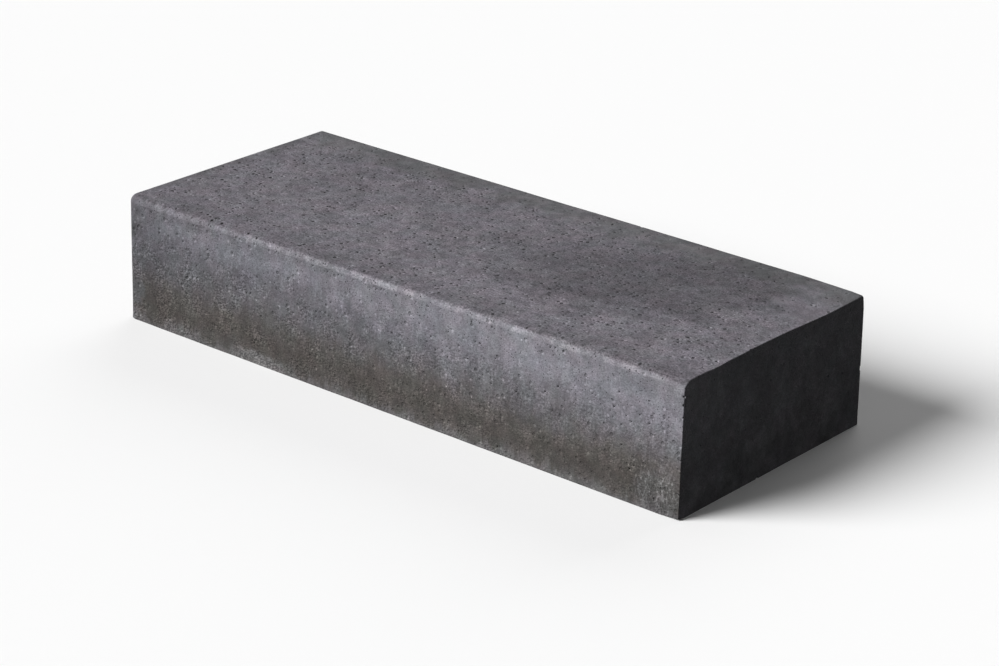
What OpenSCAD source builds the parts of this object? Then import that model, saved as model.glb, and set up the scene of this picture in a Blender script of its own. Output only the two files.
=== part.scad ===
// Cast concrete step block for the outer corner of a flight: the rounded nosing runs along
// the front and round the corner along the left end, and the right end is a plain joint.
// X runs along the front, Y to the back and Z up, with the origin in the middle of the bed.

/* [Block] */
// Length along the front, at the foot
block_length = 1000; // [500:10:1500]
// Depth from front to back, at the foot
block_depth = 400; // [250:10:600]
// Height from the bed to the tread
block_height = 190; // [100:5:250]

/* [Mould] */
// How far the front, back and left end lean in from foot to tread; the joint end stands plumb
draft = 2.5; // [0:0.1:6]

/* [Rounded edges] */
// Radius of the nosing along the front and the left end
nosing_radius = 12; // [4:1:40]
// Radius, in plan, of the flat tread's corner inside the nosing
tread_corner_radius = 2; // [0.5:0.5:60]

/* [Hidden] */
$fn = 96;
// How far the nosing laps over the leaning side, so that the two are one surface
lap = 0.001;
// Angle by which those sides lean
lean = atan(draft / block_height);
// Height of the nosing's centre line
nosing_z = block_height - nosing_radius;
// How far the nosing's centre line lies inside the foot of its side
nosing_inset = (nosing_radius - lap + nosing_z * sin(lean)) / cos(lean);
// Radius, in plan, of the block's corner at the foot
corner_radius = nosing_inset + tread_corner_radius;
// Width of the strip that the rounded corner is blended into
corner_width = 2 * corner_radius;

// Section across a side with the nosing on it, drawn as [inwards, up] from the foot of the side.
// It is `foot` long at the bed and reaches `top` at the tread.
module nosing_section(foot, top) {
    nosing_start = nosing_radius - lap;
    polygon([
        [0, 0],
        [foot, 0],
        [top, block_height],
        [nosing_inset, block_height],
        [nosing_inset - nosing_start * cos(lean), nosing_z + nosing_start * sin(lean)]
    ]);
    translate([nosing_inset, nosing_z]) circle(r = nosing_radius);
}

// Section of the left end, seen along the block: only its far side, the back, leans in
module leaning_back() {
    polygon([[0, 0], [block_depth, 0], [block_depth - draft, block_height], [0, block_height]]);
}

// Carries a section drawn as [Y, Z] along X
module along_x(length) {
    rotate([90, 0, 90]) linear_extrude(length) children();
}

// Carries a section drawn as [X, Z] along Y
module along_y(length) {
    mirror([0, 1, 0]) rotate([90, 0, 0]) linear_extrude(length) children();
}

// All that lies to the right of the rounded corner: nosing in front, plain back, plumb joint end
module front_length() {
    intersection() {
        translate([corner_radius, 0, 0])
            along_x(block_length)
            nosing_section(block_depth, block_depth - draft);
        cube([block_length, block_depth, block_height]);
    }
}

// All that lies behind the rounded corner on the left, with the nosing along the left end
module left_end() {
    intersection() {
        translate([0, corner_radius, 0])
            along_y(block_depth)
            nosing_section(corner_width, corner_width);
        along_x(block_length) leaning_back();
    }
}

// The same section turned about an upright line: one quarter of it shows, and joins the left
// end to the front
module rounded_corner() {
    translate([corner_radius, corner_radius, 0])
        rotate_extrude()
        intersection() {
            translate([corner_radius, 0])
                mirror([1, 0])
                nosing_section(corner_width, corner_width);
            square([corner_radius, block_height]);
        }
}

// The whole block, cast in one piece
module step_block() {
    color([0.35, 0.34, 0.37])
    translate([-block_length / 2, -block_depth / 2, 0])
    union() {
        front_length();
        left_end();
        rounded_corner();
    }
}

step_block();
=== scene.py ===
import bpy
import math
import numpy as np
from mathutils import Matrix, Vector


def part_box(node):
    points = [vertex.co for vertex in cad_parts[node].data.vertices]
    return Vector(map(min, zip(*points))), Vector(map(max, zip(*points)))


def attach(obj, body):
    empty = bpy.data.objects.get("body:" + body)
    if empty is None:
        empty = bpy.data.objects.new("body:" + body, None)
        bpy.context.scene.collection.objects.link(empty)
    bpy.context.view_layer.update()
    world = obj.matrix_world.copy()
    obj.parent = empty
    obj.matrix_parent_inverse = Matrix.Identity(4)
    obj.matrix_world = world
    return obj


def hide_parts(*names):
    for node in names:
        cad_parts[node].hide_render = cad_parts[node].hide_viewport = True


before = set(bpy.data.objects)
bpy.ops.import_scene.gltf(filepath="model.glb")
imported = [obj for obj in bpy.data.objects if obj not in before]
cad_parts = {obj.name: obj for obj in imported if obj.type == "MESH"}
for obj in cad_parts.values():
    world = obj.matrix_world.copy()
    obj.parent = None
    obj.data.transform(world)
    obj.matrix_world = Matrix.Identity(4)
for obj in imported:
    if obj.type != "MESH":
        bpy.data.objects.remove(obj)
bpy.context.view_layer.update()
low, high = (np.array(corner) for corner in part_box("step_block"))
size = high - low
print("frame loaded, block is", np.round(size, 4))


# The cast block: one closed skin, slid onto the distance to its leaning faces.

block = {
    "draft": 0.0025,               # how far the front, back and left end lean in from foot to tread
    "nosingRadius": 0.012,         # rounded edge along the front and the left end
    "cornerRadius": 0.0163,        # rounded upright corner, at the foot
    "arrisRadius": 0.0006,         # plain edges, where they are sharp
    "arrisWear": 0.0010,           # how much blunter they get where they are worn
    "blunt": 0.0012,               # and how much more at the upper corners of the joint end
    "cornerBlunt": 0.0030,         # and again at the very corner behind
    "cornerReach": (0.004, 0.022), # where that starts to fade and where it ends, from the corner
    "wornBehind": (0.11, 0.17),    # reach of the upper corners' wear, along and across: the back corner
    "wornInFront": (0.05, 0.15),   # and the front one
    "wearSize": 0.045,             # size of the more and the less worn stretches
    "treadSag": 0.0014,            # how far the tread drops towards the corners of the joint end
    "hollows": (                   # worn into the tread's edge there: middle, half width and depth
        (-0.191, 0.006, 0.0010),
        (-0.128, 0.016, 0.0014),
        (-0.085, 0.015, 0.0007),
        (0.105, 0.055, 0.0020),
    ),
    "hollowReach": 0.060,          # how far they run out into the tread
    "bedLift": 0.0018,             # how far the bed rises at the front corner of the joint end
    "liftReach": 0.034,            # and how far from the corner that starts
    "waves": ((0.21, 0.00024), (0.062, 0.00014), (0.026, 0.00008)),  # size and height of unevenness
    "biteShift": 0.12,             # how far outside the edge a bite's middle is, in half widths
    "step": 0.0070,                # size of the grid's cells
    "edgeLines": (0, 0.0006, 0.0016, 0.0036, 0.0070),  # the grid's first lines beside a plain edge
    "nosingLines": 7,              # its lines over a nosing
    "slides": 7,                   # how many times its points are slid towards the surface
    "seed": 11,
}

# bites out of the plain edges: the faces that meet there, the place along the third axis, half the
# width, and half the length along the edge as a share of that
bites = [
    ("right", "front", 0.1685, 0.0060, 0.30),
    ("right", "front", 0.157, 0.0034, 0.60),
    ("right", "front", 0.141, 0.0019, 1.0),
    ("right", "front", 0.082, 0.0032, 0.45),
    ("right", "front", 0.067, 0.0032, 0.60),
    ("right", "front", 0.037, 0.0027, 0.70),
    ("right", "tread", -0.187, 0.0030, 1.4),
    ("right", "tread", -0.172, 0.0024, 1.0),
    ("right", "tread", -0.060, 0.0022, 1.0),
    ("right", "tread", 0.095, 0.0026, 1.0),
    ("right", "bed", -0.031, 0.0036, 1.0),
    ("right", "back", 0.083, 0.0034, 1.0),
    ("back", "bed", -0.214, 0.0042, 1.0),
    ("back", "tread", 0.127, 0.0026, 1.0),
    ("left", "bed", 0.064, 0.0034, 1.0),
]

# which axis each face looks along, and which way
faceSides = {
    "left": (0, -1),
    "right": (0, 1),
    "front": (1, -1),
    "back": (1, 1),
    "bed": (2, -1),
    "tread": (2, 1),
}


def cloud(points, width, seed):
    # smooth random field from -1 to 1: random numbers on a lattice, blended by a smooth step from one
    # to the next
    lattice = np.random.default_rng(seed).uniform(-1, 1, (24, 24, 24))
    place = points / width + 7.3
    cell = np.floor(place).astype(int)
    part = place - cell
    part = part * part * (3 - 2 * part)
    total = np.zeros(len(points))
    for corner in np.ndindex(2, 2, 2):
        share = np.prod(np.where(corner, part, 1 - part), axis=1)
        i, j, k = ((cell + corner) % len(lattice)).T
        total += share * lattice[i, j, k]
    return total


def smoothStep(value, start, end):
    # 0 at the start, 1 at the end and level at both: 3 t squared less 2 t cubed
    part = np.clip((value - start) / (end - start), 0, 1)
    return part * part * (3 - 2 * part)


def roundJoin(distances, radius):
    # distance to the space inside all of these faces, with the edges where they meet rounded:
    # the length of what reaches past the rounding's centre, less the radius
    reach = np.stack(distances) + radius
    outside = np.linalg.norm(np.maximum(reach, 0), axis=0)
    inside = np.minimum(reach.max(axis=0), 0)
    return outside + inside - radius


def cornerWear(points):
    # 1 at the front and back corners of the joint end, falling to 0 over a hand's breadth
    x, y = points[:, 0], points[:, 1]
    alongBehind, acrossBehind = block["wornBehind"]
    alongFront, acrossFront = block["wornInFront"]
    fromBack = np.hypot((high[0] - x) / alongBehind, (high[1] - y) / acrossBehind)
    fromFront = np.hypot((high[0] - x) / alongFront, (y - low[1]) / acrossFront)
    return 1 - smoothStep(np.minimum(fromBack, fromFront), 0, 1)


def treadDrop(points):
    # how far the tread has sunk below its true height, all of it near the joint end
    x, y = points[:, 0], points[:, 1]
    drop = block["treadSag"] * cornerWear(points)
    fromEnd = 1 - smoothStep(high[0] - x, 0, block["hollowReach"])
    for middle, half, depth in block["hollows"]:
        drop += depth * fromEnd * (1 - smoothStep(abs(y - middle), 0, 2 * half))
    return drop


def faceDistances(points):
    # signed distance to each face: the sides lean in by the draft, the joint end stands plumb,
    # the tread sags a little at the joint end and the bed's front right corner is worn off
    x, y, z = points.T
    lean = math.atan(block["draft"] / size[2])
    cosLean, sinLean = math.cos(lean), math.sin(lean)
    fromCorner = np.hypot(high[0] - x, 2.5 * (y - low[1]))
    wornFoot = 1 - smoothStep(fromCorner, 0.004, block["liftReach"])
    return {
        "left": (low[0] - x) * cosLean + z * sinLean,
        "front": (low[1] - y) * cosLean + z * sinLean,
        "right": x - high[0],
        "back": (y - high[1]) * cosLean + z * sinLean,
        "tread": z - high[2] + treadDrop(points),
        "bed": low[2] + block["bedLift"] * wornFoot - z,
    }


def biteShape(first, second, along, width, share):
    # middle and half sizes of a ball, flattened along the edge, that sits a little outside the edge
    # where the two faces meet
    place = np.full(3, along)
    half = np.full(3, width * share)
    for name in (first, second):
        axis, sign = faceSides[name]
        place[axis] = (high if sign > 0 else low)[axis] + sign * block["biteShift"] * width
        half[axis] = width
    lean = block["draft"] * np.clip(place[2] / size[2], 0, 1)
    if "front" in (first, second) or "back" in (first, second):
        place[1] -= math.copysign(lean, place[1])
    return place, half


biteCentres, biteHalves = np.array([biteShape(*bite) for bite in bites]).transpose(1, 0, 2)


def bodyDistance(points):
    # signed distance to the block before its surface is roughened: the left end and the front joined
    # with the corner's radius, those and the tread with the nosing's, and the rest with the arris's
    face = faceDistances(points)
    corner = block["cornerRadius"] - block["draft"] * points[:, 2] / size[2]
    sides = roundJoin([face["left"], face["front"]], corner)
    nosed = roundJoin([sides, face["tread"]], block["nosingRadius"])
    worn = np.clip(cloud(points, block["wearSize"], block["seed"]), 0, 1)
    upper = smoothStep(points[:, 2] / size[2], 0.6, 0.95)
    atCorner = 1 - smoothStep(np.linalg.norm(points - high, axis=1), *block["cornerReach"])
    arris = block["arrisRadius"] + block["arrisWear"] * worn
    arris += block["blunt"] * cornerWear(points) * upper + block["cornerBlunt"] * atCorner
    return roundJoin([nosed, face["right"], face["back"], face["bed"]], arris)


def bittenDistance(points):
    # the same, with the bites taken out of the edges: the greater of that and the depth in each ball
    away = np.linalg.norm((points[:, None] - biteCentres) / biteHalves, axis=2)
    bitten = (1 - away) * biteHalves.min(axis=1)
    return np.maximum(bodyDistance(points), bitten.max(axis=1))


def relief(points):
    # how far the cast surface lies inside the true faces: the sum of the clouds' upper parts, at each
    # size of wave, and none under the bed
    depth = np.zeros(len(points))
    for number, (width, tall) in enumerate(block["waves"]):
        depth += tall * np.maximum(0.6 + cloud(points, width, block["seed"] + 3 * number + 1), 0)
    return depth * smoothStep(points[:, 2], low[2] + 0.0005, low[2] + 0.006)


def slope(field, points):
    # gradient of a field, from its change over a tenth of a millimetre each way
    tiny = 0.0001
    out = np.empty_like(points)
    for axis in range(3):
        shift = np.zeros(3)
        shift[axis] = tiny
        out[:, axis] = (field(points + shift) - field(points - shift)) / (2 * tiny)
    return out


def gridLines(axis, firstBand, lastBand):
    # places of the grid lines along one side: close together in the bands at its ends and at the
    # bites, even between them
    start, end = firstBand[-1], size[axis] - lastBand[-1]
    middle = np.linspace(start, end, round((end - start) / block["step"]) + 1)
    lines = low[axis] + np.concatenate([firstBand[:-1], middle, size[axis] - lastBand[:-1][::-1]])
    for centre, radius in zip(biteCentres[:, axis], biteHalves[:, axis]):
        if low[axis] + start + 2 * radius < centre < low[axis] + end - 2 * radius:
            near = centre + radius * np.linspace(-1.1, 1.1, 6)
            lines = np.concatenate([lines[abs(lines - centre) > 1.35 * radius], near])
    return np.sort(lines)


def skinSide(shape, axis, atEnd):
    # the quads of one side of a box-shaped grid, turned outwards, by the number of each grid point
    u, v = [other for other in range(3) if other != axis]
    first, second = np.meshgrid(np.arange(shape[u] - 1), np.arange(shape[v] - 1), indexing="ij")
    ids = []
    for du, dv in ((0, 0), (1, 0), (1, 1), (0, 1)):
        place = [None, None, None]
        place[axis] = np.full(first.shape, shape[axis] - 1 if atEnd else 0)
        place[u] = first + du
        place[v] = second + dv
        ids.append(np.ravel_multi_index(place, shape).ravel())
    quads = np.stack(ids, axis=1)
    outwards = atEnd != (axis == 1)
    return quads if outwards else quads[:, ::-1]


def blockSkin():
    # grid over the six sides. Each point is slid along the slope of the distance, by the distance over
    # the slope, until it lies on the block. The lines over a nosing are at tangents of even angles
    turn = np.linspace(math.pi / 4, 0, block["nosingLines"])
    nosing = block["nosingRadius"] * (1 - np.tan(turn))
    corner = nosing * block["cornerRadius"] / block["nosingRadius"]
    arris = np.array(block["edgeLines"])
    lines = [gridLines(0, corner, arris), gridLines(1, corner, arris), gridLines(2, arris, nosing)]
    shape = tuple(len(line) for line in lines)
    names = ("left", "right", "front", "back", "bed", "tread")
    sides = [skinSide(shape, axis, atEnd) for axis in range(3) for atEnd in (False, True)]
    where = np.concatenate([np.full(len(side), number) for number, side in enumerate(sides)])
    used, quads = np.unique(np.concatenate(sides), return_inverse=True)
    quads = quads.reshape(-1, 4)
    i, j, k = np.unravel_index(used, shape)
    points = np.stack([lines[0][i], lines[1][j], lines[2][k]], axis=1)
    for _ in range(block["slides"]):
        away = bittenDistance(points) + relief(points)
        way = slope(bittenDistance, points)
        points -= away[:, None] * way / np.maximum((way * way).sum(axis=1), 0.25)[:, None]
    return np.clip(points, low, high), quads, where, names


pores = {
    "perSquareMetre": {
        "tread": 2500,
        "front": 3400,
        "left": 2700,
        "back": 2000,
        "right": 1000,
        "bed": 250,
    },
    "clusters": (0.05, 1.5),      # their width, and how much they gather the pores
    "fewest": 0.1,                # between the clusters and in them, as a share of the number above
    "most": 2.4,
    "lowShare": 0.10,             # share of the upright faces' pores that is left near the foot
    "radius": (0.0008, 0.0028),   # smallest and largest open pore
    "favourSmall": 1.1,           # 1 is as many large as small
    "depth": (0.9, 1.4),          # as a share of the radius
    "squeeze": (0.55, 1.0),       # width of the narrowest and of the roundest, as a share of its length
    "uneven": (0.75, 1.2),        # least and greatest reach of the rim, as a share of its oval's
    "room": 1.25,                 # how far from the cell's sides its middle stays, in radii
    "rings": ((1.0, 0.0), (0.72, 0.75), (0.0, 1.0)),  # rim, wall and floor: shares of radius and depth
    "sideSize": 0.68,             # their size on the upright faces, as a share of the tread's
    "sideDepth": 0.90,            # and their depth for that size
    "smoothStrip": 0.04,          # width of the tread's strips with few pores, along its back and left
    "stripShare": 0.2,            # share of the pores that is left there
    "seed": 5,
}

rimPoints = 8                     # two for each corner of a cell
cupPoints = 2 * rimPoints + 1     # rim, wall and one point for the floor


def poreOdds(middles, where, names):
    # pores per square metre: so many on each face, gathered in clusters, and fewer in the tread's
    # smooth strips and low on the upright faces
    width, strength = pores["clusters"]
    gathered = 1 + strength * cloud(middles, width, pores["seed"] + 2)
    gathered = np.clip(gathered, pores["fewest"], pores["most"])
    fromPlain = np.minimum(high[1] - middles[:, 1], middles[:, 0] - low[0])
    inStrip = smoothStep(fromPlain, 1.4 * pores["smoothStrip"], 0.3 * pores["smoothStrip"])
    upper = smoothStep(middles[:, 2] / size[2], 0.35, 0.80)
    onSides = pores["lowShare"] + (1 - pores["lowShare"]) * upper
    onTread = where == names.index("tread")
    perFace = np.array([pores["perSquareMetre"][name] for name in names])[where]
    inTread = 1 - (1 - pores["stripShare"]) * inStrip
    return perFace * gathered * np.where(onTread, inTread, onSides)


def poreCups(corners, onTread, random):
    # a cup in each of these cells. Its rim is an uneven oval at a random place in the cell, and each
    # ring is the rim drawn in to its share of the radius and sunk by its share of the depth
    count = len(corners)
    along = corners[:, 1] - corners[:, 0]
    across = corners[:, 3] - corners[:, 0]
    width = np.linalg.norm(along, axis=1)
    depth = np.linalg.norm(across, axis=1)
    smallest, largest = pores["radius"]
    radius = smallest + (largest - smallest) * random.uniform(size=count) ** pores["favourSmall"]
    radius = radius * np.where(onTread, 1, pores["sideSize"])
    room = 0.5 - pores["room"] * radius / np.minimum(width, depth)
    centre = 0.5 + random.uniform(-1, 1, (count, 2)) * room[:, None]
    angle = np.arange(rimPoints) * 2 * math.pi / rimPoints
    squeeze = random.uniform(*pores["squeeze"], count)[:, None]
    tilt = random.uniform(0, math.pi, count)[:, None]
    uneven = random.uniform(*pores["uneven"], (count, rimPoints))
    reach = uneven * (1 - (1 - squeeze) * np.cos(angle - tilt) ** 2) * radius[:, None]
    normal = np.cross(along, across)
    normal /= np.linalg.norm(normal, axis=1)[:, None]
    deep = radius * random.uniform(*pores["depth"], count) * np.where(onTread, 1, pores["sideDepth"])
    a, b, c, d = (corners[:, n][:, None] for n in range(4))
    rings = []
    for share, sink in pores["rings"]:
        ring = angle if share else angle[:1]
        s = centre[:, :1] + share * reach[:, : len(ring)] * np.cos(ring) / width[:, None]
        t = centre[:, 1:] + share * reach[:, : len(ring)] * np.sin(ring) / depth[:, None]
        s, t = s[..., None], t[..., None]
        flat = (a * (1 - s) + b * s) * (1 - t) + (d * (1 - s) + c * s) * t
        rings.append(flat - (deep * sink)[:, None, None] * normal[:, None])
    return np.concatenate(rings, axis=1), radius, normal


def addPores(points, quads, where, names):
    # some cells give way to a cup, with a flat collar from its rim to the cell's corners
    random = np.random.default_rng(pores["seed"])
    corners = points[quads]
    width = np.linalg.norm(corners[:, 1] - corners[:, 0], axis=1)
    depth = np.linalg.norm(corners[:, 3] - corners[:, 0], axis=1)
    roomy = np.minimum(width, depth) > 0.8 * block["step"]
    odds = poreOdds(corners.mean(axis=1), where, names) * width * depth
    chosen = np.flatnonzero(roomy & (random.uniform(size=len(quads)) < odds))
    cups, radius, normal = poreCups(corners[chosen], where[chosen] == names.index("tread"), random)
    count = len(chosen)
    rim = len(points) + cupPoints * np.arange(count)[:, None] + np.arange(rimPoints)
    wall, floor = rim + rimPoints, rim[:, :1] + 2 * rimPoints
    following = np.roll(np.arange(rimPoints), -1)
    quadWall = np.stack([rim, rim[:, following], wall[:, following], wall], axis=2).reshape(-1, 4)
    middle = np.broadcast_to(floor, wall.shape)
    tris = [np.stack([wall, wall[:, following], middle], axis=2).reshape(-1, 3)]
    for n in range(4):
        outer, nextOuter = quads[chosen, (n + 2) % 4], quads[chosen, (n + 3) % 4]
        before, facing, after = rim[:, 2 * n], rim[:, 2 * n + 1], rim[:, (2 * n + 2) % rimPoints]
        tris.append(np.stack([outer, facing, before], axis=1))
        tris.append(np.stack([outer, after, facing], axis=1))
        tris.append(np.stack([outer, nextOuter, after], axis=1))
    keep = np.ones(len(quads), bool)
    keep[chosen] = False
    # 1 in a bite and on a cup's floor, 0.8 on its wall, and -0.8 on the lower wall of a cup in an
    # upright face; the material turns the values above nothing into painted shade, those below into a
    # painted highlight
    sunk = np.zeros(len(points) + cupPoints * count)
    sunk[: len(points)] = bittenDistance(points) > bodyDistance(points) + 0.0002
    below = (cups[:, 2 * rimPoints :, 2] - cups[:, rimPoints : 2 * rimPoints, 2]) / radius[:, None]
    sunk[wall] = 0.8 - 1.6 * (abs(normal[:, 2:]) < 0.5) * smoothStep(below, 0, 0.5)
    sunk[floor] = 1
    print("open pores:", count)
    return (np.concatenate([points, cups.reshape(-1, 3)]), np.concatenate([quads[keep], quadWall]),
            np.concatenate(tris), sunk)


def meshFrom(name, points, quads, tris):
    mesh = bpy.data.meshes.new(name)
    loops = np.concatenate([quads.ravel(), tris.ravel()]).astype(np.int32)
    starts = np.concatenate([np.arange(len(quads)) * 4, len(quads) * 4 + np.arange(len(tris)) * 3])
    mesh.vertices.add(len(points))
    mesh.vertices.foreach_set("co", points.astype(np.float32).ravel())
    mesh.loops.add(len(loops))
    mesh.loops.foreach_set("vertex_index", loops)
    mesh.polygons.add(len(starts))
    mesh.polygons.foreach_set("loop_start", starts.astype(np.int32))
    mesh.polygons.foreach_set("use_smooth", np.ones(len(starts), bool))
    mesh.update(calc_edges=True)
    mesh.validate()
    return mesh


def storeFacing(mesh, points, sunk):
    # the way the block's true face looks at each point, and how deep the point lies in an open pore
    # or a bite, with less than nothing for the lower lip of a pore in an upright face, where the
    # material paints a highlight
    way = slope(bodyDistance, points)
    way /= np.maximum(np.linalg.norm(way, axis=1), 0.001)[:, None]
    facing = mesh.attributes.new("facing", "FLOAT_VECTOR", "POINT")
    facing.data.foreach_set("vector", way.astype(np.float32).ravel())
    inPore = mesh.attributes.new("inPore", "FLOAT", "POINT")
    inPore.data.foreach_set("value", sunk.astype(np.float32))


def makeBlock():
    points, quads, where, names = blockSkin()
    points, quads, tris, sunk = addPores(points, quads, where, names)
    mesh = meshFrom("castBlock", points, quads, tris)
    storeFacing(mesh, points, sunk)
    piece = bpy.data.objects.new("castBlock", mesh)
    bpy.context.scene.collection.objects.link(piece)
    print("block skin:", len(points), "points,", 2 * len(quads) + len(tris), "triangles")
    return piece


# The concrete.

concrete = {
    "tread": (0.128, 0.120, 0.136),        # purple grey
    "skin": (0.088, 0.087, 0.092),         # smoother, greener strip along the plain edges
    "sides": (                             # upright faces, by height as a share of the block's
        (0.03, (0.069, 0.065, 0.062)),
        (0.19, (0.058, 0.052, 0.048)),     # olive brown band
        (0.31, (0.073, 0.067, 0.064)),
        (0.44, (0.095, 0.091, 0.097)),
        (0.56, (0.115, 0.112, 0.123)),
        (0.69, (0.149, 0.145, 0.163)),
        (0.81, (0.174, 0.170, 0.193)),     # pale blue grey under the nosing
        (0.94, (0.172, 0.168, 0.188)),
    ),
    "bandDrift": (0.050, 0.018),           # how much those heights vary, in patches and in streaks
    "foot": (0.105, 0.101, 0.103),         # grey streaks that rise from the bed
    "footRise": (0.005, 0.022),            # height of the shortest and tallest of them
    "joint": (0.094, 0.093, 0.101),        # plain end
    "leftShade": 0.775,                    # painted shade: tone of the front's left end, as a share of its right end's, as the light falls off to the left
    "wander": 0.05,                        # how far the limits of areas wander, either way
    "backStrip": 0.050,                    # widths of the smooth strips on the tread
    "leftStrip": 0.022,
    "smoothCorner": ((0.455, 0.125), (0.040, 0.080)),    # trowelled patch there: middle and half widths
    "stripTone": 0.92,                     # tone of the tread's strip behind the nosing
    "cornerSkin": (0.019, 0.038),          # where the upright corner's smooth skin fades: start and end
    "cornerTone": 0.84,                    # its tone, as a share of the skin's
    "scratched": ((0.468, 0.030), (0.034, 0.032)),       # low on the front, beside the joint end
    "scratchedTone": 0.585,                # its ground and scratches, as shares of the foot's tone
    "scratch": 1.51,
    "nosingWearAndHighlight": 0.25,                    # how much paler the nosing's band is: partly worn, partly a painted highlight
    "nosingTint": (1.016, 1.0, 0.982),     # and how much warmer
    "shoulderShade": 0.18,                  # painted shade: how much darker it is above that
    "belowShadow": 0.13,                     # painted shadow: how much darker the face just below it is
    # painted shade in the open pores and the bites
    "poreShade": {"tread": 0.90, "sides": 0.85},
    "lipHighlight": 0.45,                      # painted highlight on the lower lip of a pore in an upright face, where light from above falls
    "pits": (0.0090, 0.0033, 0.38, 0.0),   # spacing, radius, share of the places that have one, shift
    # painted shade inside the pits, large and fine
    "pitShade": {"tread": 0.82, "sides": 0.30},
    "pitLit": 0.58,                        # pale crescent on the side of a pit that faces the light
    "finePits": (0.0036, 0.0013, 0.34, 4.4),
    "finePitShade": {"tread": 0.60, "sides": 0.87},
    "sand": (0.0044, 0.0016, 0.66, 9.1),
    "sandLight": {"tread": 0.46, "sides": 0.36},
    "coarseSand": (0.0060, 0.0022, 0.60, 3.3),
    "bareSand": 1.60,                      # laid bare above the foot, most of it to the right
    "cloudRange": (0.94, 1.06),            # darkest and lightest tone of the clouds, a hand wide
    "mottleRange": (0.85, 1.15),           # and of the mottles, a finger wide
    "patchRange": {"tread": 0.28, "sides": 0.12},      # from the darkest to the lightest patch
    "jointPatches": 2.0,                   # the same on the joint end
    "grainRange": {"tread": 0.608, "sides": 0.304},
    "streakRange": 0.45,                   # of the upright streaks, narrow and broad
    "blotchDark": 0.28,                    # dark blotches a few millimetres wide on the tread
    "blotchRest": 1.034,                   # tone between them, which keeps the whole as light
    "lightwardShift": 0.0009,                   # the marks are a noise less the same noise moved this far towards the light: painted light and shade of a relief
    "crackleHighlight": 0.34,                  # painted highlight of short marks on the upright faces
    "crackleShade": 0.31,                   # and their painted shade over them
    "crustLight": 0.31,                    # pale crust of salts on them
    "hues": ((1.02, 0.99, 1.005), (0.98, 1.007, 0.99)),            # from purple to green
    "warmths": ((0.988, 1.004, 1.011), (1.012, 0.996, 0.989)),     # from blue to brown
    "roughness": 0.88,
    "roughnessChange": 0.07,
    "specular": 0.25,
    "grainHeight": 0.0005,
    "mottleHeight": 0.6,                   # as a share of the grain's
    "pitHeight": -1.6,
}

# noises: width of the blobs in metres, detail, roughness, stretch along the axes and shift
noises = {
    "clouds": (0.16, 2.0, 0.5, (1, 1, 1), 0.0),
    "patches": (0.05, 3.0, 0.6, (1, 1, 1), 3.1),
    "warmth": (0.055, 3.0, 0.7, (1, 1, 1), 1.4),
    "curtains": (0.036, 2.0, 0.5, (1, 1, 4), 6.2),     # broad upright streaks
    "streaks": (0.007, 2.0, 0.55, (1, 1, 7), 8.3),
    "roughPatches": (0.030, 2.0, 0.6, (1, 1, 1), 9.4),
    "hue": (0.028, 2.0, 0.6, (1, 1, 1), 4.9),
    "mottle": (0.014, 2.0, 0.6, (1, 1, 1), 5.7),
    "blotches": (0.0065, 1.0, 0.5, (1, 1, 1), 7.1),
    "scratches": (0.0048, 1.0, 0.5, (0.9, 1, 3.0), 0.8),
    "crust": (0.0032, 1.0, 0.5, (1, 1, 1.3), 2.6),
    "marks": (0.0032, 1.0, 0.5, (1, 1, 0.8), 7.7),
    "grain": (0.0025, 2.0, 0.65, (1, 1, 0.75), 1.9),
}

# lighter and darker areas: middle and half widths in metres, turn in degrees, and tone as a factor
treadAreas = (
    ((0.265, 0.035), (0.210, 0.115), 31, 0.69),    # large damp patch
    ((0.335, 0.125), (0.085, 0.080), 0, 0.89),
    ((0.24, -0.075), (0.065, 0.035), 0, 0.90),
    ((0.07, 0.030), (0.090, 0.060), 20, 0.90),
    ((-0.30, 0.125), (0.110, 0.035), 0, 0.89),
    ((-0.04, -0.080), (0.400, 0.070), 3, 1.07),
    ((-0.34, -0.150), (0.110, 0.050), 0, 0.92),
    ((0.20, -0.130), (0.300, 0.030), 0, 1.10),
    ((-0.43, 0.160), (0.045, 0.040), -20, 1.16),
    ((0.455, 0.120), (0.030, 0.100), 0, 1.12),
    ((0.455, -0.090), (0.060, 0.080), 0, 1.09),
    ((0.26, 0.170), (0.050, 0.030), 0, 1.16),
    ((0.00, 0.160), (0.055, 0.036), 0, 1.13),
    ((0.30, -0.005), (0.130, 0.035), 0, 0.94),
    ((0.14, -0.094), (0.060, 0.022), 0, 1.13),
    ((0.11, 0.005), (0.040, 0.040), 0, 0.95),
    ((-0.36, -0.115), (0.030, 0.022), 0, 0.93),
)
footBloom = ((-0.237, 0.003), (0.051, 0.018), 0, 1.23)    # white bloom at the front's foot
sideAreas = (
    footBloom,
    ((0.485, 0.050), (0.022, 0.045), 0, 1.18),
    ((-0.15, 0.150), (0.120, 0.030), 0, 1.07),
    ((0.40, 0.122), (0.140, 0.035), 0, 1.12),
    ((-0.46, 0.135), (0.050, 0.055), 0, 0.86),
    ((-0.20, 0.128), (0.110, 0.020), 0, 0.84),
    ((0.05, 0.130), (0.045, 0.020), 0, 0.89),
    ((0.34, 0.152), (0.055, 0.020), 0, 1.09),
    ((0.15, 0.163), (0.050, 0.020), 0, 1.06),
    ((0.25, 0.079), (0.055, 0.018), 0, 0.85),
    ((0.15, 0.012), (0.050, 0.016), 0, 1.15),
    ((-0.10, 0.122), (0.028, 0.038), 0, 0.84),
    ((0.30, 0.142), (0.024, 0.042), 0, 1.14),
    ((0.10, 0.116), (0.024, 0.030), 0, 0.90),
    ((-0.255, 0.140), (0.034, 0.036), 0, 0.94),
    ((-0.305, 0.140), (0.022, 0.040), 0, 1.07),
    ((-0.42, 0.152), (0.024, 0.018), 0, 0.87),
    ((0.06, 0.070), (0.022, 0.014), 0, 1.11),
    ((-0.28, 0.027), (0.080, 0.010), 0, 0.94),
    ((0.29, 0.026), (0.100, 0.013), 0, 0.90),
)


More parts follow.
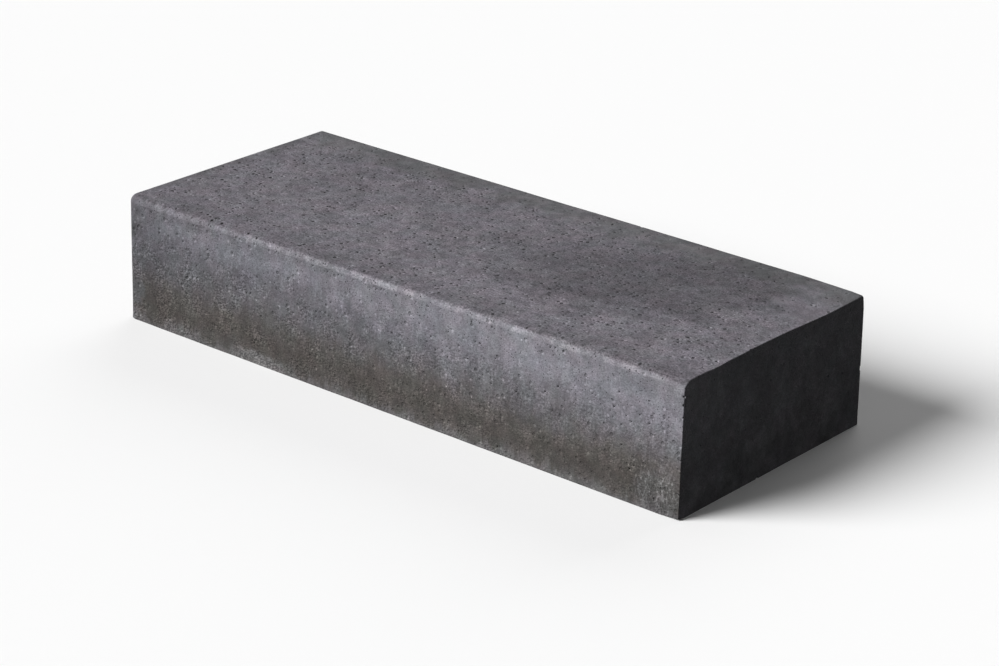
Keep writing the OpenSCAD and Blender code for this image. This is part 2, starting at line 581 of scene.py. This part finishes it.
def node(tree, kind, inputs=(), **settings):
    # adds a node, and links or sets its inputs, which are given by name or number
    new = tree.nodes.new(kind)
    for name, value in settings.items():
        setattr(new, name, value)
    for name, value in dict(inputs).items():
        if isinstance(value, bpy.types.NodeSocket):
            tree.links.new(value, new.inputs[name])
        else:
            new.inputs[name].default_value = value
    return new


def calc(tree, operation, first, second=0.0, third=0.0):
    return node(tree, "ShaderNodeMath", {0: first, 1: second, 2: third}, operation=operation).outputs[0]


def times(tree, *factors):
    product = factors[0]
    for factor in factors[1:]:
        product = calc(tree, "MULTIPLY", product, factor)
    return product


def without(tree, mask):
    return calc(tree, "SUBTRACT", 1.0, mask)


def centred(tree, value):
    return calc(tree, "SUBTRACT", value, 0.5)


def toned(tree, mask, strength):
    # factor that goes from 1 to 1 + strength as the mask goes from 0 to 1
    return calc(tree, "MULTIPLY_ADD", mask, strength, 1.0)


def ramp(tree, value, start, end, least=0.0, most=1.0):
    # smooth step from least, where the value is at start, to most, where it is at end
    inputs = {"Value": value, "From Min": start, "From Max": end, "To Min": least, "To Max": most}
    return node(tree, "ShaderNodeMapRange", inputs, interpolation_type="SMOOTHSTEP").outputs[0]


def between(tree, factor, first, second):
    # number that goes from the first to the second as the factor goes from 0 to 1
    return node(tree, "ShaderNodeMix", {0: factor, 2: first, 3: second}, data_type="FLOAT").outputs[0]


def blend(tree, factor, first, second):
    # the same for colours
    inputs = {0: factor, 6: first, 7: second}
    for name in (6, 7):
        if isinstance(inputs[name], tuple):
            inputs[name] = (*inputs[name], 1)
    return node(tree, "ShaderNodeMix", inputs, data_type="RGBA").outputs[2]


def scaled(tree, colour, tone):
    return node(tree, "ShaderNodeVectorMath", {0: colour, "Scale": tone}, operation="SCALE").outputs[0]


def tinted(tree, colour, tint):
    return node(tree, "ShaderNodeVectorMath", {0: colour, 1: tint}, operation="MULTIPLY").outputs[0]


def colourBands(tree, value, bands):
    # colour that runs through the bands, each given as its place from 0 to 1 and its colour
    new = node(tree, "ShaderNodeValToRGB", {0: value})
    stops = new.color_ramp.elements
    while len(stops) < len(bands):
        stops.new(0.5)
    for stop, (place, colour) in zip(stops, bands):
        stop.position = place
        stop.color = (*colour, 1)
    return new.outputs[0]


def moved(tree, place, shift, scale=(1, 1, 1)):
    inputs = {"Vector": place, "Scale": scale, "Location": shift}
    return node(tree, "ShaderNodeMapping", inputs).outputs[0]


def noise(tree, place, width, detail, rough, stretch, shift):
    # cloudy noise about 0.5, its blobs about as wide as given and longer where it is stretched
    spread = moved(tree, place, (shift,) * 3, tuple(1 / (width * part) for part in stretch))
    inputs = {"Vector": spread, "Scale": 1.0, "Detail": detail, "Roughness": rough}
    return node(tree, "ShaderNodeTexNoise", inputs).outputs[0]


def speckle(tree, place, spacing, radius, share, shift):
    # round spots, one at most in each cell: 1 at the middle of a spot and 0 outside it
    spread = moved(tree, place, (shift,) * 3, (1 / spacing,) * 3)
    cells = node(tree, "ShaderNodeTexVoronoi", {"Vector": spread, "Scale": 1.0})
    chance = node(tree, "ShaderNodeSeparateColor", {0: cells.outputs["Color"]}).outputs
    reach = calc(tree, "MULTIPLY_ADD", chance[1], 0.6 * radius / spacing, 0.4 * radius / spacing)
    inside = without(tree, calc(tree, "DIVIDE", cells.outputs["Distance"], reach))
    chosen = calc(tree, "LESS_THAN", chance[0], share)
    return times(tree, ramp(tree, inside, 0.0, 0.5), chosen)


def litPits(tree, place, spacing, radius, share, shift):
    # the same spots as pits, and the pale crescent where each pit's wall faces the light, which is
    # the spot moved a little to the right, back and down, less the spot itself
    pit = speckle(tree, place, spacing, radius, share, shift)
    beside = moved(tree, place, (-0.5 * radius, -0.5 * radius, 0.5 * radius))
    lit = speckle(tree, beside, spacing, radius, share, shift)
    return pit, calc(tree, "MAXIMUM", calc(tree, "SUBTRACT", lit, pit), 0.0)


def oval(tree, across, along, middle, radii, angle=0.0):
    # 1 inside a leaning oval with soft edges, given in metres, and 0 outside it: u and v are the
    # distances from its middle along its two axes, as shares of its half widths
    cosTurn, sinTurn = math.cos(math.radians(angle)), math.sin(math.radians(angle))
    dx = calc(tree, "SUBTRACT", across, middle[0])
    dy = calc(tree, "SUBTRACT", along, middle[1])
    u = calc(tree, "MULTIPLY_ADD", dx, cosTurn / radii[0], times(tree, dy, sinTurn / radii[0]))
    v = calc(tree, "MULTIPLY_ADD", dx, -sinTurn / radii[1], times(tree, dy, cosTurn / radii[1]))
    away = calc(tree, "SQRT", calc(tree, "MULTIPLY_ADD", u, u, times(tree, v, v)))
    return ramp(tree, away, 1.3, 0.6)


def areaTone(tree, across, along, areas):
    # product of the tones of all the areas that a point lies in
    tones = []
    for middle, radii, angle, tone in areas:
        tones.append(toned(tree, oval(tree, across, along, middle, radii, angle), tone - 1))
    return times(tree, *tones)


def surfaceFields(tree):
    # everything the finish depends on: the noises, the place, the kind of face and the areas
    place = node(tree, "ShaderNodeTexCoord").outputs["Object"]
    facing = node(tree, "ShaderNodeAttribute", attribute_name="facing").outputs["Vector"]
    sunk = node(tree, "ShaderNodeAttribute", attribute_name="inPore").outputs["Fac"]
    x, y, z = node(tree, "ShaderNodeSeparateXYZ", {0: place}).outputs
    toRight, toBack, toSky = node(tree, "ShaderNodeSeparateXYZ", {0: facing}).outputs
    at = {name: noise(tree, place, *values) for name, values in noises.items()}
    # the marks: a noise less itself moved towards the light, which paints the light and shade of a
    # small relief
    step = concrete["lightwardShift"]
    beside = noise(tree, moved(tree, place, (-step, -step, step)), *noises["marks"])
    at["marks"] = calc(tree, "SUBTRACT", at["marks"], beside)
    at.update({"place": place, "x": x, "y": y, "z": z, "toSky": toSky})

    wander = calc(tree, "MULTIPLY_ADD", at["patches"], 2 * concrete["wander"], -concrete["wander"])
    at["wanderX"] = calc(tree, "ADD", x, wander)
    at["wanderY"] = calc(tree, "SUBTRACT", y, wander)
    halfWandered = calc(tree, "MULTIPLY_ADD", wander, 0.5, x)
    at["scratched"] = oval(tree, halfWandered, z, *concrete["scratched"])

    plain = calc(tree, "MAXIMUM", ramp(tree, toRight, 0.02, 0.2), ramp(tree, toBack, 0.02, 0.2))
    at["nosed"] = without(tree, plain)
    at["onTread"] = ramp(tree, toSky, 0.45, 0.76)
    at["onJoint"] = ramp(tree, toRight, 0.55, 0.9)
    # painted shade in the pores and bites
    at["inPore"] = ramp(tree, sunk, 0.3, 0.8)
    # painted highlight on the lower lip of an upright face's pore
    at["onLip"] = ramp(tree, sunk, -0.2, -0.7)

    back, left = concrete["backStrip"], concrete["leftStrip"]
    alongBack = ramp(tree, at["wanderY"], high[1] - 1.5 * back, high[1] - 0.6 * back)
    alongLeft = ramp(tree, at["wanderX"], low[0] + 1.5 * left, low[0] + 0.5 * left, 0.0, 0.6)
    at["skin"] = calc(tree, "MAXIMUM", alongBack, alongLeft)
    trowelled = oval(tree, at["wanderX"], at["wanderY"], *concrete["smoothCorner"])
    smooth = calc(tree, "MAXIMUM", at["skin"], times(tree, trowelled, 0.9))
    at["smooth"] = times(tree, smooth, at["onTread"])

    towardsLeft = ramp(tree, x, low[0] + 0.25, high[0] - 0.10, 1.2, 0.7)
    at["rough"] = times(tree, ramp(tree, at["roughPatches"], 0.36, 0.62, 0.22, 1.10), towardsLeft)
    return at


def onFaces(tree, at, values):
    # value that differs between the tread and the sides
    return ramp(tree, at["onTread"], 0.0, 1.0, values["sides"], values["tread"])


def treadColour(tree, at):
    # purple grey, smoother and greener along the plain edges, with the large lighter and darker areas
    colour = blend(tree, times(tree, at["skin"], 0.85), concrete["tread"], concrete["skin"])
    behindNosing = ramp(tree, at["y"], low[1] + 0.010, low[1] + 0.034, concrete["stripTone"], 1.0)
    areas = areaTone(tree, at["wanderX"], at["wanderY"], treadAreas)
    return scaled(tree, colour, times(tree, areas, behindNosing))


def footColour(tree, at, level, colour):
    # grey streaks and the bloom rise from the bed, and pale scratches lie low beside the joint end
    uneven = calc(tree, "MULTIPLY_ADD", at["curtains"], 0.6, times(tree, at["streaks"], 0.4))
    rise = ramp(tree, uneven, 0.40, 0.62, *concrete["footRise"])
    streaked = ramp(tree, calc(tree, "DIVIDE", at["z"], rise), 1.3, 0.2, 0.0, 0.80)
    bloom = oval(tree, at["wanderX"], level, *footBloom[:3])
    colour = blend(tree, calc(tree, "MAXIMUM", streaked, bloom), colour, concrete["foot"])
    ground = scaled(tree, concrete["foot"], concrete["scratchedTone"])
    colour = blend(tree, times(tree, at["scratched"], 0.6), colour, ground)
    fromLine = calc(tree, "ABSOLUTE", centred(tree, at["scratches"]))
    lines = times(tree, at["scratched"], ramp(tree, fromLine, 0.050, 0.015), 0.62)
    return blend(tree, lines, colour, scaled(tree, concrete["foot"], concrete["scratch"]))


def sideColour(tree, at):
    # bands of colour by height with wandering limits, darker at the rounded corner, and painted shade
    # that darkens the front towards its left end
    byPatch, byStreak = concrete["bandDrift"]
    drift = times(tree, centred(tree, at["streaks"]), byStreak)
    drift = calc(tree, "MULTIPLY_ADD", centred(tree, at["patches"]), byPatch, drift)
    level = calc(tree, "ADD", at["z"], drift)
    colour = colourBands(tree, calc(tree, "DIVIDE", level, size[2]), concrete["sides"])
    colour = footColour(tree, at, level, colour)

    fromLeft = calc(tree, "SUBTRACT", at["wanderX"], low[0])
    fromCorner = calc(tree, "ADD", fromLeft, calc(tree, "SUBTRACT", at["y"], low[1]))
    full, fading = concrete["cornerSkin"]
    skin = ramp(tree, fromCorner, fading, full, 0.0, 0.85)
    skin = times(tree, skin, ramp(tree, at["z"], 0.165, 0.140, 0.45, 1.0))
    colour = blend(tree, skin, colour, scaled(tree, concrete["skin"], concrete["cornerTone"]))

    # painted shade: the light falls off towards the left end
    darker = ramp(tree, at["x"], low[0] - 0.05, low[0] + 0.70, concrete["leftShade"] - 1, 0.0)
    leftShadeTone = toned(tree, darker, ramp(tree, level, 0.03, 0.11))
    areas = areaTone(tree, at["wanderX"], level, sideAreas)
    colour = scaled(tree, colour, times(tree, leftShadeTone, areas))
    towardsFront = ramp(tree, at["y"], low[1] + 0.16, low[1])
    nearNosing = times(tree, towardsFront, ramp(tree, at["z"], 0.06, high[2]))
    joint = scaled(tree, concrete["joint"], calc(tree, "MULTIPLY_ADD", nearNosing, 0.35, 0.95))
    return blend(tree, at["onJoint"], colour, joint)


def nosingWornAndLit(tree, at):
    # how pale the lower half of the rounded edge is, partly worn and partly a painted highlight: in
    # patches, and less towards both its ends
    bandTop = calc(tree, "SUBTRACT", at["toSky"], ramp(tree, at["x"], 0.05, 0.20, 0.0, 0.15))
    return times(
        tree,
        ramp(tree, at["toSky"], 0.02, 0.16),
        ramp(tree, bandTop, 0.80, 0.62),
        at["nosed"],
        ramp(tree, at["patches"], 0.28, 0.55),
        ramp(tree, at["mottle"], 0.36, 0.60, 0.45, 1.08),
        ramp(tree, at["grain"], 0.34, 0.56, 0.0, 1.15),
        ramp(tree, at["x"], low[0] + 0.06, low[0] + 0.38, 0.10, 1.0),
        ramp(tree, at["x"], high[0] - 0.14, high[0] - 0.02, 1.0, 0.45),
    )


def nosingTone(tree, at):
    # the band is paler, partly worn and partly a painted highlight, with painted shade on the shoulder
    # above it and a painted shadow line on the face below it
    sky = at["toSky"]
    # painted shade on the shoulder, the upper half of the rounding
    shoulder = times(tree, ramp(tree, sky, 0.68, 0.84), ramp(tree, sky, 0.999, 0.97), at["nosed"])
    # painted shadow line on the face just under the nosing
    underEdge = ramp(tree, at["z"], high[2] - 0.030, high[2] - 0.016)
    towardsLeft = ramp(tree, at["x"], high[0] - 0.2, low[0] + 0.1)
    below = times(tree, underEdge, ramp(tree, sky, 0.10, 0.02), towardsLeft)
    return times(
        tree,
        toned(tree, at["worn"], concrete["nosingWearAndHighlight"]),
        toned(tree, shoulder, -concrete["shoulderShade"]),
        toned(tree, below, -concrete["belowShadow"]),
    )


def sideMarks(tree, at):
    # what only the upright faces have: a crust, short marks in patches painted with the light and shade
    # of a relief, bare sand, and streaks, most of them kept to their own range of heights
    z, marks = at["z"], at["marks"]
    drawn = times(tree, without(tree, at["onTread"]), without(tree, at["onJoint"]))
    belowTop, aboveBand = ramp(tree, z, 0.16, 0.11, 0.15, 1.0), ramp(tree, z, 0.03, 0.07, 0.3, 1.0)
    crustGaps = times(tree, ramp(tree, at["crust"], 0.45, 0.34), 0.35)
    crust = calc(tree, "SUBTRACT", ramp(tree, at["crust"], 0.55, 0.66), crustGaps)
    crackled = times(tree, at["rough"], ramp(tree, z, 0.17, 0.08, 0.65, 1.0))
    crackled = calc(tree, "MAXIMUM", crackled, times(tree, at["scratched"], 0.75))
    paleLow = ramp(tree, z, 0.15, 0.09, 0.15, 1.0)
    towardsRight = ramp(tree, at["x"], low[0] + 0.10, low[0] + 0.65, 0.15, 1.0)
    aboveFoot = times(tree, ramp(tree, z, 0.095, 0.06), ramp(tree, z, 0.015, 0.035))
    bare = speckle(tree, at["place"], *concrete["coarseSand"])
    fadingUp = ramp(tree, z, 0.07, 0.13, 1.0, 0.35)
    strengths = (
        (times(tree, at["rough"], belowTop, aboveBand, crust), concrete["crustLight"]),
        (times(tree, crackled, paleLow, ramp(tree, marks, 0.03, 0.09)), concrete["crackleHighlight"]),
        (times(tree, crackled, ramp(tree, marks, -0.03, -0.09)), -concrete["crackleShade"]),
        (times(tree, aboveFoot, towardsRight, at["rough"], bare), concrete["bareSand"]),
        (times(tree, centred(tree, at["streaks"]), fadingUp), concrete["streakRange"]),
        (centred(tree, at["curtains"]), concrete["streakRange"]),
    )
    tones = [toned(tree, times(tree, drawn, mark), strength) for mark, strength in strengths]
    return times(tree, *tones)


def concreteTone(tree, at, pits, fine, lit, sand):
    # lighter and darker at every size, painted shade in the pores, pits and bites with painted
    # highlights on their lit lips and walls, pale grains of sand; the smooth strips and the joint end
    # have less of it
    coarse = without(tree, times(tree, at["smooth"], 0.6))
    clean = times(tree, coarse, without(tree, times(tree, at["onJoint"], 0.7)))
    towardsLeft = ramp(tree, at["x"], high[0] - 0.15, low[0] + 0.05, 0.80, 1.15)
    upwards = ramp(tree, at["z"], 0.04, 0.12, 0.35, 1.0)
    pitted = times(tree, clean, between(tree, at["onTread"], upwards, towardsLeft))
    patches = centred(tree, ramp(tree, at["patches"], 0.30, 0.70))
    grain = times(tree, coarse, centred(tree, ramp(tree, at["grain"], 0.34, 0.66)))
    blotched = times(tree, ramp(tree, at["blotches"], 0.44, 0.33), at["onTread"], coarse)
    return times(
        tree,
        ramp(tree, at["clouds"], 0.30, 0.70, *concrete["cloudRange"]),
        toned(tree, times(tree, at["onJoint"], centred(tree, at["patches"])), concrete["jointPatches"]),
        toned(tree, patches, onFaces(tree, at, concrete["patchRange"])),
        ramp(tree, at["mottle"], 0.32, 0.68, *concrete["mottleRange"]),
        toned(tree, grain, onFaces(tree, at, concrete["grainRange"])),
        without(tree, times(tree, pits, pitted, onFaces(tree, at, concrete["pitShade"]))),
        without(tree, times(tree, fine, pitted, onFaces(tree, at, concrete["finePitShade"]))),
        calc(tree, "MULTIPLY_ADD", blotched, -concrete["blotchDark"], concrete["blotchRest"]),
        without(tree, times(tree, at["inPore"], onFaces(tree, at, concrete["poreShade"]))),
        toned(tree, times(tree, at["onLip"], clean), concrete["lipHighlight"]),
        toned(tree, times(tree, lit, clean), concrete["pitLit"]),
        toned(tree, times(tree, sand, clean), onFaces(tree, at, concrete["sandLight"])),
        sideMarks(tree, at),
        nosingTone(tree, at),
    )


def concreteMaterial():
    material = bpy.data.materials.new("castConcrete")
    material.use_nodes = True
    tree = material.node_tree
    shader = tree.nodes["Principled BSDF"]
    at = surfaceFields(tree)
    at["worn"] = nosingWornAndLit(tree, at)
    pits, lit = litPits(tree, at["place"], *concrete["pits"])
    fine = speckle(tree, at["place"], *concrete["finePits"])
    sand = speckle(tree, at["place"], *concrete["sand"])
    colour = blend(tree, at["onTread"], sideColour(tree, at), treadColour(tree, at))
    hue = blend(tree, ramp(tree, at["hue"], 0.36, 0.64), *concrete["hues"])
    warmth = blend(tree, ramp(tree, at["warmth"], 0.34, 0.66), *concrete["warmths"])
    # the nosing band's warmer tint goes with its wear and its painted highlight
    wornTint = blend(tree, at["worn"], (1.0, 1.0, 1.0), concrete["nosingTint"])
    for tint in (hue, warmth, wornTint):
        colour = tinted(tree, colour, tint)
    colour = scaled(tree, colour, concreteTone(tree, at, pits, fine, lit, sand))
    tree.links.new(colour, shader.inputs["Base Color"])

    middle, change = concrete["roughness"], concrete["roughnessChange"]
    matt = ramp(tree, at["patches"], 0.3, 0.7, middle - change, middle + change)
    tree.links.new(matt, shader.inputs["Roughness"])
    shader.inputs["Specular IOR Level"].default_value = concrete["specular"]

    dents = calc(tree, "MAXIMUM", pits, times(tree, fine, 0.60))
    height = calc(tree, "MULTIPLY_ADD", at["mottle"], concrete["mottleHeight"], at["grain"])
    height = calc(tree, "MULTIPLY_ADD", dents, concrete["pitHeight"], height)
    bump = node(tree, "ShaderNodeBump", {"Height": height, "Distance": concrete["grainHeight"]})
    tree.links.new(bump.outputs[0], shader.inputs["Normal"])
    print("concrete:", len(tree.nodes), "nodes")
    return material


castBlock = makeBlock()
castBlock.data.materials.append(concreteMaterial())
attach(castBlock, "root")
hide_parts("step_block")


# Floor, lights and camera.

studio = {
    "floorSize": 60.0,
    "floorColour": (0.86, 0.86, 0.86),
    "floorRoughness": 0.9,
    "skyStrength": 0.10,
}

# azimuth is in degrees: 0 is straight in front of the nosing and minus is to its left
suns = {
    "keyLight": {"azimuth": -34.0, "elevation": 34.4, "softness": 34.0, "strength": 5.06},
    "fillLight": {"azimuth": -165.0, "elevation": 30.0, "softness": 50.0, "strength": 0.8},
}

camera = {
    "aim": (0.0306, 0.0067, 0.0602),
    "azimuth": 39.92,
    "elevation": 22.45,
    "roll": 1.07,
    "distance": 4.053,
    "lens": 105.32,
    "sensor": 36,
}


def plainMaterial(name, colour, roughness):
    material = bpy.data.materials.new(name)
    material.use_nodes = True
    shader = material.node_tree.nodes["Principled BSDF"]
    shader.inputs["Base Color"].default_value = (*colour, 1)
    shader.inputs["Roughness"].default_value = roughness
    return material


def towards(azimuth, elevation):
    # unit vector to a point seen in that direction from the block
    a, e = math.radians(azimuth), math.radians(elevation)
    return Vector((math.sin(a) * math.cos(e), -math.cos(a) * math.cos(e), math.sin(e)))


def makeFloor():
    half = studio["floorSize"] / 2
    corners = [(-half, -half, 0), (half, -half, 0), (half, half, 0), (-half, half, 0)]
    mesh = bpy.data.meshes.new("studioFloor")
    mesh.from_pydata(corners, [], [(0, 1, 2, 3)])
    floor = bpy.data.objects.new("studioFloor", mesh)
    bpy.context.scene.collection.objects.link(floor)
    pale = plainMaterial("paleFloor", studio["floorColour"], studio["floorRoughness"])
    floor.data.materials.append(pale)
    floor.visible_diffuse = False    # it casts no light up onto the block


def makeLights():
    for name, light in suns.items():
        data = bpy.data.lights.new(name, "SUN")
        data.energy = light["strength"]
        data.angle = math.radians(light["softness"])
        sun = bpy.data.objects.new(name, data)
        sun.rotation_mode = "QUATERNION"
        sun.rotation_quaternion = towards(light["azimuth"], light["elevation"]).to_track_quat("Z", "Y")
        bpy.context.scene.collection.objects.link(sun)
    world = bpy.data.worlds.new("studioSky")
    world.use_nodes = True
    sky = world.node_tree.nodes["Background"].inputs
    sky["Color"].default_value = (1, 1, 1, 1)
    sky["Strength"].default_value = studio["skyStrength"]
    bpy.context.scene.world = world


def makeCamera():
    back = towards(camera["azimuth"], camera["elevation"])
    data = bpy.data.cameras.new("camera")
    data.lens = camera["lens"]
    data.sensor_width = camera["sensor"]
    eye = bpy.data.objects.new("camera", data)
    roll = Matrix.Rotation(math.radians(camera["roll"]), 3, "Z")
    turn = back.to_track_quat("Z", "Y").to_matrix() @ roll
    stand = Vector(camera["aim"]) + back * camera["distance"]
    eye.matrix_world = Matrix.Translation(stand) @ turn.to_4x4()
    bpy.context.scene.collection.objects.link(eye)
    bpy.context.scene.camera = eye


makeFloor()
makeLights()
makeCamera()
bpy.context.scene.view_settings.view_transform = "Standard"
print("studio ready")
